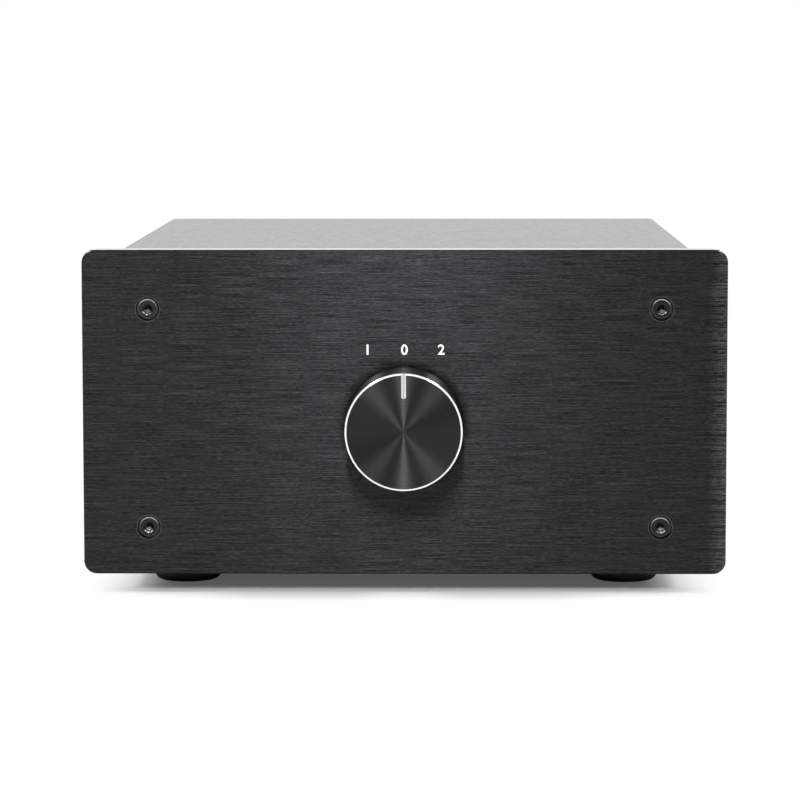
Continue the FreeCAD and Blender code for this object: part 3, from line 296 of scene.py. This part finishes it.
class Look(Tree):
    """A material with one Principled shader, and short calls for its pattern."""

    def __init__(self, name, **sockets):
        """`sockets` are plain values for the shader, such as Coat_Weight=0.3."""
        self.material = bpy.data.materials.new(name)
        super().__init__(self.material, "ShaderNodeOutputMaterial")
        self.principled = self.nodes.new("ShaderNodeBsdfPrincipled")
        self.links.new(self.principled.outputs["BSDF"], self.surface)
        for socket, value in sockets.items():
            self.put(value, socket.replace("_", " "))
        self.place = self.coordinates("Object")

    def put(self, value, socket):
        """Feed one of the shader's sockets."""
        self.feed(self.principled.inputs[socket], value)

    def facing(self, axis):
        """How far the surface points along an axis."""
        geometry = self.nodes.new("ShaderNodeNewGeometry")
        return self.axes(geometry.outputs["True Normal"])[axis]

    def noise(self, grain, detail=4.0, roughness=0.6):
        """Noise whose grains are about `grain` metres: one size, or one for X, Y and Z each."""
        sizes = grain if isinstance(grain, tuple) else (grain,) * 3
        mapping = self.nodes.new("ShaderNodeMapping")
        mapping.inputs["Scale"].default_value = [1 / size for size in sizes]
        self.links.new(self.place, mapping.inputs["Vector"])
        node = self.nodes.new("ShaderNodeTexNoise")
        node.inputs["Scale"].default_value = 1.0
        node.inputs["Detail"].default_value = detail
        node.inputs["Roughness"].default_value = roughness
        self.links.new(mapping.outputs[0], node.inputs["Vector"])
        return node.outputs[0]

    def rings(self, radius, width, detail):
        """Noise that changes with the radius alone, in rings about `width` metres wide."""
        node = self.nodes.new("ShaderNodeTexNoise")
        node.noise_dimensions = "1D"
        node.inputs["Scale"].default_value = 1 / width
        node.inputs["Detail"].default_value = detail
        self.links.new(radius, node.inputs["W"])
        return node.outputs[0]

    def colours(self, source, first, last, start=NOISE_LOW, end=NOISE_HIGH):
        """A colour that runs from first to last as the source runs from start to end."""
        node = self.nodes.new("ShaderNodeValToRGB")
        for element, position, colour in zip(node.color_ramp.elements, (start, end),
                                             (first, last)):
            element.position = position
            element.color = (*colour, 1)
        self.links.new(source, node.inputs[0])
        return node.outputs[0]

    def blend(self, share, first, second):
        """The first colour where the share is 0, and the second where it is 1."""
        node = self.nodes.new("ShaderNodeMix")
        node.data_type = "RGBA"
        self.links.new(share, node.inputs[MIX_SHARE])
        for socket, value in zip(MIX_COLOURS, (first, second)):
            self.feed(node.inputs[socket], (*value, 1) if isinstance(value, tuple) else value)
        return node.outputs[MIX_RESULT]

    def less(self, share, loss):
        """1, and 1 - loss where the share is 1."""
        return self.math("SUBTRACT", 1.0, self.math("MULTIPLY", share, loss))

    def bump(self, height, depth, strength=1.0):
        """Relief in the surface, up to `depth` metres."""
        node = self.nodes.new("ShaderNodeBump")
        node.inputs["Strength"].default_value = strength
        node.inputs["Distance"].default_value = depth
        self.links.new(height, node.inputs["Height"])
        self.put(node.outputs[0], "Normal")

    def grooves_around_y(self):
        """Turning marks: the highlight spreads across them, a quarter turn from the tangent."""
        node = self.nodes.new("ShaderNodeTangent")
        node.direction_type = "RADIAL"
        node.axis = "Y"
        self.put(node.outputs[0], "Tangent")
        self.put(0.25, "Anisotropic Rotation")

    def grooves_along_x(self):
        """Brushing: the highlight spreads across it, along Z, and along Y on level faces."""
        node = self.nodes.new("ShaderNodeCombineXYZ")
        node.inputs[1].default_value = BRUSH_LEAN
        node.inputs[2].default_value = 1.0
        self.put(node.outputs[0], "Tangent")


# ---------------------------------------------------------------- materials

def around_screws(look, inner, outer):
    """1 in the rings around the panel screws' axes between two radii."""
    x, _, z = look.axes(look.place)
    across = look.math("SUBTRACT", look.math("ABSOLUTE", x), screws_high.x - SCREW_HEAD_RADIUS)
    from_row = [look.math("ABSOLUTE", look.math("SUBTRACT", z, row))
                for row in (screws_low.z + SCREW_HEAD_RADIUS, screws_high.z - SCREW_HEAD_RADIUS)]
    return look.between(look.across_y(across, look.math("MINIMUM", *from_row)), inner, outer)


def brushed_black():
    """Aluminium brushed along X, then anodised black."""
    look = Look("panel_black", Metallic=1.0, Anisotropic=0.9)
    fine = look.noise(BRUSH_FINE, detail=3, roughness=0.7)
    broad = look.noise(BRUSH_BROAD, detail=2, roughness=0.5)
    brushing = look.math("MULTIPLY_ADD", broad, BRUSH_BROAD_SHARE,
                         look.math("MULTIPLY", fine, 1 - BRUSH_BROAD_SHARE))
    x, _, z = look.axes(look.place)
    from_knob = look.across_y(x, look.math("SUBTRACT", z, knob_axis_z))
    # painted shade: the colour darkens towards black in a ring around the knob's base
    painted_gap_shade = look.spread(from_knob, GAP_PAINTED_SHADE, 1.0, knob_base_radius, knob_base_radius + GAP_REACH)
    # painted glints: lighter streaks in the colour near the panel's right edge
    near_edge = look.spread(x, 0.0, 1.0, panel_high.x - GLINT_REACH, panel_high.x)
    glint = look.math("MULTIPLY", near_edge, look.spread(brushing, 0.0, 1.0, *GLINT_RANGE))
    # the panel's colour is lighter in a ring at each counterbore's edge
    inside, outside = COUNTERBORE_RING
    edge_ring = around_screws(look, COUNTERBORE_RADIUS - inside, COUNTERBORE_RADIUS + outside)
    sides = look.within(look.facing("Y"), SIDE_FACING)
    streaks = look.colours(brushing, *PANEL_STREAKS, *STREAK_RANGE)
    front = look.blend(painted_gap_shade, grey(0), look.blend(glint, streaks, PANEL_GLINT))
    look.put(look.blend(sides, look.blend(edge_ring, front, PANEL_RING_GREY),
                        look.colours(broad, *PANEL_SIDES)), "Base Color")
    look.put(look.math("MULTIPLY", look.spread(brushing, *BRUSH_ROUGHNESS),
                       look.less(sides, SIDE_POLISH)), "Roughness")
    look.bump(look.math("MULTIPLY", brushing, look.math("SUBTRACT", 1.0, sides)),
              BRUSH_DEPTH, strength=0.5)
    look.grooves_along_x()
    return look.material


def powder_coat(name):
    """Fine satin powder coat over sheet steel."""
    look = Look(name, Coat_Weight=0.37, Coat_Roughness=0.22)
    peel = look.noise(COAT_PEEL, detail=3, roughness=0.55)
    cloud = look.noise(COAT_CLOUD, detail=2, roughness=0.5)
    look.put(look.colours(cloud, *COAT_BLACK), "Base Color")
    look.put(look.math("ADD", look.spread(peel, *COAT_PEEL_ROUGHNESS),
                       look.spread(cloud, *COAT_CLOUD_ROUGHNESS)), "Roughness")
    look.bump(peel, COAT_PEEL_DEPTH)
    return look.material


def spun_knob():
    """Black anodised knob with turning marks; its cut rim and pointer slot are bare metal, and
    the cut metal's colour is painted light: lighter at the knob's lower side, darker at its upper
    side.
    """
    look = Look("knob_aluminium", Anisotropic=1.0)
    x, y, z = look.axes(look.place)
    up = look.math("SUBTRACT", z, knob_axis_z)
    radius = look.across_y(x, up)
    behind_front = look.math("SUBTRACT", y, knob_low.y)
    outer, inner = (knob_front_radius - inset for inset in RIM_BARE)
    rim = look.every(look.between(radius, inner, outer),
                     look.math("LESS_THAN", behind_front, RIM_BARE_DEPTH))
    slot = look.every(look.within(x, SLOT_HALF_WIDTH), look.between(behind_front, *SLOT_BARE),
                      look.math("GREATER_THAN", up, 0.0))
    slot_middle = look.every(slot, look.within(x, SLOT_DULL_HALF_WIDTH))
    bare = look.math("MAXIMUM", rim, slot)
    marks = look.rings(radius, TURNING_FINE, detail=3)
    turned = look.math("MULTIPLY_ADD", look.rings(radius, TURNING_BROAD, detail=1),
                       TURNING_BROAD_SHARE,
                       look.math("MULTIPLY", marks, 1 - TURNING_BROAD_SHARE))
    # painted light: the cut metal runs from light at the knob's lower side to darker at its upper
    # side
    height = look.spread(up, 0.0, 1.0, -knob_front_radius, knob_front_radius)
    cut_metal_painted_light = look.colours(height, *CUT_METAL_PAINTED_LIGHT, 0.0, 1.0)
    look.put(look.blend(bare, look.colours(turned, *KNOB_BLACK),
                        look.blend(slot_middle, cut_metal_painted_light, SLOT_DULL)), "Base Color")
    look.put(look.math("ADD", look.spread(turned, *KNOB_ROUGHNESS),
                       look.math("MULTIPLY", bare, BARE_POLISH)), "Roughness")
    look.put(look.less(bare, BARE_LOSS), "Metallic")
    look.bump(marks, TURNING_DEPTH, strength=0.6)
    look.grooves_around_y()
    return look.material


def metal(name, colour, roughness):
    """Plain metal or plating, with faint wear in its colour and polish."""
    look = Look(name, Metallic=1.0)
    wear = look.noise(WEAR_GRAIN)
    look.put(look.colours(wear, scaled(colour, WEAR_DARKEST), colour), "Base Color")
    look.put(look.spread(wear, *scaled(WEAR_ROUGHNESS, roughness)), "Roughness")
    look.bump(wear, WEAR_DEPTH, strength=0.3)
    return look.material


def black_oxide():
    """Black oxide on steel; the panel screws' head edges are a little lighter from wear and carry
    a painted highlight where they face up, and their sockets are painted lit where they face up.
    """
    look = Look("screw_black")
    wear = look.noise(OXIDE_GRAIN)
    inside, outside = SCREW_HEAD_RING
    edge_ring = around_screws(look, SCREW_HEAD_RADIUS - inside, SCREW_HEAD_RADIUS + outside)
    faces_up = look.spread(look.facing("Z"), 0.0, 1.0, *FACING_UP)
    # painted light: inside a socket's mouth, the faces that point up are a lighter grey
    in_socket = look.every(faces_up, around_screws(look, NO_INNER_RADIUS, SOCKET_MOUTH_RADIUS))
    plain = look.blend(in_socket, look.colours(wear, *SCREW_BLACK), SOCKET_LIT)
    # painted highlight: the head's edge ring is much lighter where it faces up; wear lightens it
    # a little all round
    look.put(look.blend(edge_ring, plain, look.blend(faces_up, *SCREW_EDGE_WEAR_AND_HIGHLIGHT)), "Base Color")
    look.put(look.less(look.math("MAXIMUM", edge_ring, in_socket), BARE_LOSS), "Metallic")
    look.put(look.spread(wear, *OXIDE_ROUGHNESS), "Roughness")
    look.bump(wear, OXIDE_DEPTH, strength=0.35)
    return look.material


def moulded(name, colour, roughness, grain=SKIN_GRAIN, depth=SKIN_DEPTH):
    """Moulded plastic or rubber with a fine skin."""
    look = Look(name)
    skin = look.noise(grain, detail=3, roughness=0.55)
    cloud = look.noise(SKIN_CLOUD, detail=2, roughness=0.5)
    look.put(look.colours(cloud, scaled(colour, SKIN_DARKEST), colour), "Base Color")
    look.put(look.spread(skin, *scaled(SKIN_ROUGHNESS, roughness)), "Roughness")
    look.bump(skin, depth, strength=0.35)
    return look.material


def laminate():
    """Brown phenolic board, its fibres along X."""
    look = Look("phenolic_brown", Roughness=0.45)
    fibre = look.noise(FIBRE_GRAIN, detail=5)
    look.put(look.colours(fibre, *FIBRE_BROWN), "Base Color")
    look.bump(fibre, FIBRE_DEPTH, strength=0.4)
    return look.material


def print_white():
    """The numerals' white ink."""
    look = Look("numeral_ink", Roughness=0.5)
    ink = look.noise(INK_GRAIN, detail=2, roughness=0.5)
    look.put(look.colours(ink, *INK_WHITE), "Base Color")
    return look.material


looks = {
    "panel_black": brushed_black(),
    "cover_black": powder_coat("cover_black"),
    "chassis_black": powder_coat("chassis_black"),
    "knob_aluminium": spun_knob(),
    "screw_black": black_oxide(),
    "zinc_steel": metal("zinc_steel", (0.62, 0.63, 0.65), 0.32),
    "spring_steel": metal("spring_steel", grey(0.5), 0.25),
    "nickel_brass": metal("nickel_brass", (0.7, 0.68, 0.64), 0.22),
    "silver_brass": metal("silver_brass", (0.8, 0.8, 0.78), 0.26),
    "gold_brass": metal("gold_brass", (0.83, 0.6, 0.24), 0.2),
    "nylon_white": moulded("nylon_white", (0.8, 0.79, 0.74), 0.4),
    "phenolic_brown": laminate(),
    "plastic_red": moulded("plastic_red", (0.55, 0.02, 0.02), 0.24),
    "plastic_black": moulded("plastic_black", grey(0.02), 0.26),
    "foot_rubber": moulded("foot_rubber", grey(0.014), 0.62, RUBBER_GRAIN, RUBBER_DEPTH),
    "wire_red": moulded("wire_red", (0.5, 0.03, 0.03), 0.45),
    "wire_black": moulded("wire_black", grey(0.02), 0.45),
}


def dress_nodes():
    """Give each CAD piece the look of its material slot."""
    for part in frame["record"]["subparts"]:
        node = frame["nodes"][part["node"]]
        node.data.materials.clear()
        node.data.materials.append(looks[part["material_slot"]])


# ---------------------------------------------------------------- printed numerals

def add_piece(name, data):
    """A new object in the scene."""
    piece = bpy.data.objects.new(name, data)
    bpy.context.scene.collection.objects.link(piece)
    return piece


def numerals():
    """Plain white figures above the knob, one at each of its three positions."""
    ink = print_white()
    for figure, step in (("1", -1), ("0", 0), ("2", 1)):
        curve = bpy.data.curves.new(f"numeral_{figure}", "FONT")
        curve.body = figure
        curve.size = NUMERAL_HEIGHT / CAP_HEIGHT_SHARE
        curve.align_x = "CENTER"
        curve.align_y = "CENTER"
        curve.offset = NUMERAL_BOLD * NUMERAL_HEIGHT
        curve.extrude = NUMERAL_PROUD / 2
        curve.materials.append(ink)
        piece = add_piece(f"numeral_{figure}", curve)
        piece.rotation_euler = (math.pi / 2, 0, 0)
        piece.location = (step * NUMERAL_STEP, panel_front - NUMERAL_PROUD / 2,
                          panel_high.z - NUMERAL_DROP)
        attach(piece, "housing")


# ---------------------------------------------------------------- floor, light, camera

def floor():
    """White disc: it takes the object's shadow near it and is plain white far off."""
    turns = [2 * math.pi * i / FLOOR_CORNERS for i in range(FLOOR_CORNERS)]
    mesh = bpy.data.meshes.new("floor")
    mesh.from_pydata([(FLOOR_RADIUS * math.cos(turn), FLOOR_RADIUS * math.sin(turn), 0)
                      for turn in turns], [], [list(range(FLOOR_CORNERS))])
    material = bpy.data.materials.new("floor_white")
    tree = Tree(material, "ShaderNodeOutputMaterial")
    rays = tree.rays()
    x, y, _ = tree.axes(tree.coordinates("Object"))
    # painted light: near the object a little white glow lightens its shadow; between SHADOW_X and
    # SHADOW_Y the glow grows until the floor is plain white
    away = [tree.spread(tree.math("ABSOLUTE", place), SHADOW_LIFT, 1.0, near, far, smooth=True)
            for place, (near, far) in ((x, SHADOW_X), (y, SHADOW_Y))]
    seen = tree.math("MAXIMUM", rays["Is Camera Ray"], rays["Is Transmission Ray"])
    tone = tree.spread(rays["Is Glossy Ray"], FLOOR_SHADE, FLOOR_IN_GLOSS, 0.0, 1.0)
    lit = tree.shader("ShaderNodeBsdfDiffuse", "Color", tone)
    white = tree.shader("ShaderNodeEmission", "Strength", 1.0)
    share = tree.math("MULTIPLY", seen, tree.math("MAXIMUM", *away))
    tree.feed(tree.surface, tree.mix_shaders(share, lit, white))
    mesh.materials.append(material)
    add_piece("floor", mesh)


def dome():
    """White all round to the camera; it lights the object at a plain level, and gloss
    sees a room that is dim in front and bright behind."""
    world = bpy.data.worlds.new("dome")
    tree = Tree(world, "ShaderNodeOutputWorld")
    rays = tree.rays()
    toward_rear = tree.axes(tree.coordinates("Generated"))["Y"]
    room = tree.spread(toward_rear, ROOM_IN_FRONT, ROOM_BEHIND, *ROOM_TURN, smooth=True)
    seen = tree.math("MAXIMUM", rays["Is Camera Ray"], rays["Is Transmission Ray"])
    light = tree.mix_shaders(rays["Is Glossy Ray"], tree.background(DOME_STRENGTH),
                             tree.background(room))
    tree.feed(tree.surface, tree.mix_shaders(seen, light, tree.background(1.0)))
    bpy.context.scene.world = world


def softbox(name, place, size, power):
    """Soft lamp that faces the knob's middle."""
    lamp = bpy.data.lights.new(name, "AREA")
    lamp.shape = "RECTANGLE"
    lamp.size, lamp.size_y = size
    lamp.energy = power
    piece = add_piece(name, lamp)
    piece.location = place
    aim = Vector((0, panel_front, knob_axis_z)) - Vector(place)
    piece.rotation_euler = aim.to_track_quat("-Z", "Y").to_euler()
    return piece


def spare_cover(lamp):
    """Keep a lamp that shapes the panel's and knob's highlights from glaring on the cover."""
    spared = bpy.data.collections.new(f"{lamp.name}_spares")
    lamp.light_linking.receiver_collection = spared
    spared.objects.link(frame["nodes"]["top_cover"])
    for link in spared.collection_objects:
        link.light_linking.link_state = "EXCLUDE"


def lamps():
    """Two lamps above light the whole object; four in front shape the panel's tones."""
    for lamp in LAMPS_ABOVE:
        softbox(*lamp)
    for lamp in LAMPS_IN_FRONT:
        spare_cover(softbox(*lamp))


def camera():
    """The photograph's camera, as fitted to its edges."""
    forward = Vector((-math.sin(CAMERA_YAW) * math.cos(CAMERA_PITCH),
                      math.cos(CAMERA_YAW) * math.cos(CAMERA_PITCH), -math.sin(CAMERA_PITCH)))
    level = Vector((math.cos(CAMERA_YAW), math.sin(CAMERA_YAW), 0))
    upright = level.cross(forward)
    right = math.cos(CAMERA_ROLL) * level - math.sin(CAMERA_ROLL) * upright
    up = math.sin(CAMERA_ROLL) * level + math.cos(CAMERA_ROLL) * upright
    lens = bpy.data.cameras.new("camera")
    lens.lens = FOCAL_MM
    lens.sensor_width = SENSOR_MM
    lens.clip_end = 2 * FLOOR_RADIUS
    piece = add_piece("camera", lens)
    turn = Matrix((right, up, -forward)).transposed().to_4x4()
    piece.matrix_world = Matrix.Translation((CAMERA_X, panel_front - CAMERA_GAP, CAMERA_Z)) @ turn
    bpy.context.scene.camera = piece


dress_nodes()
numerals()
floor()
dome()
lamps()
camera()
bpy.context.scene.view_settings.view_transform = "Standard"

bpy.context.view_layer.update()
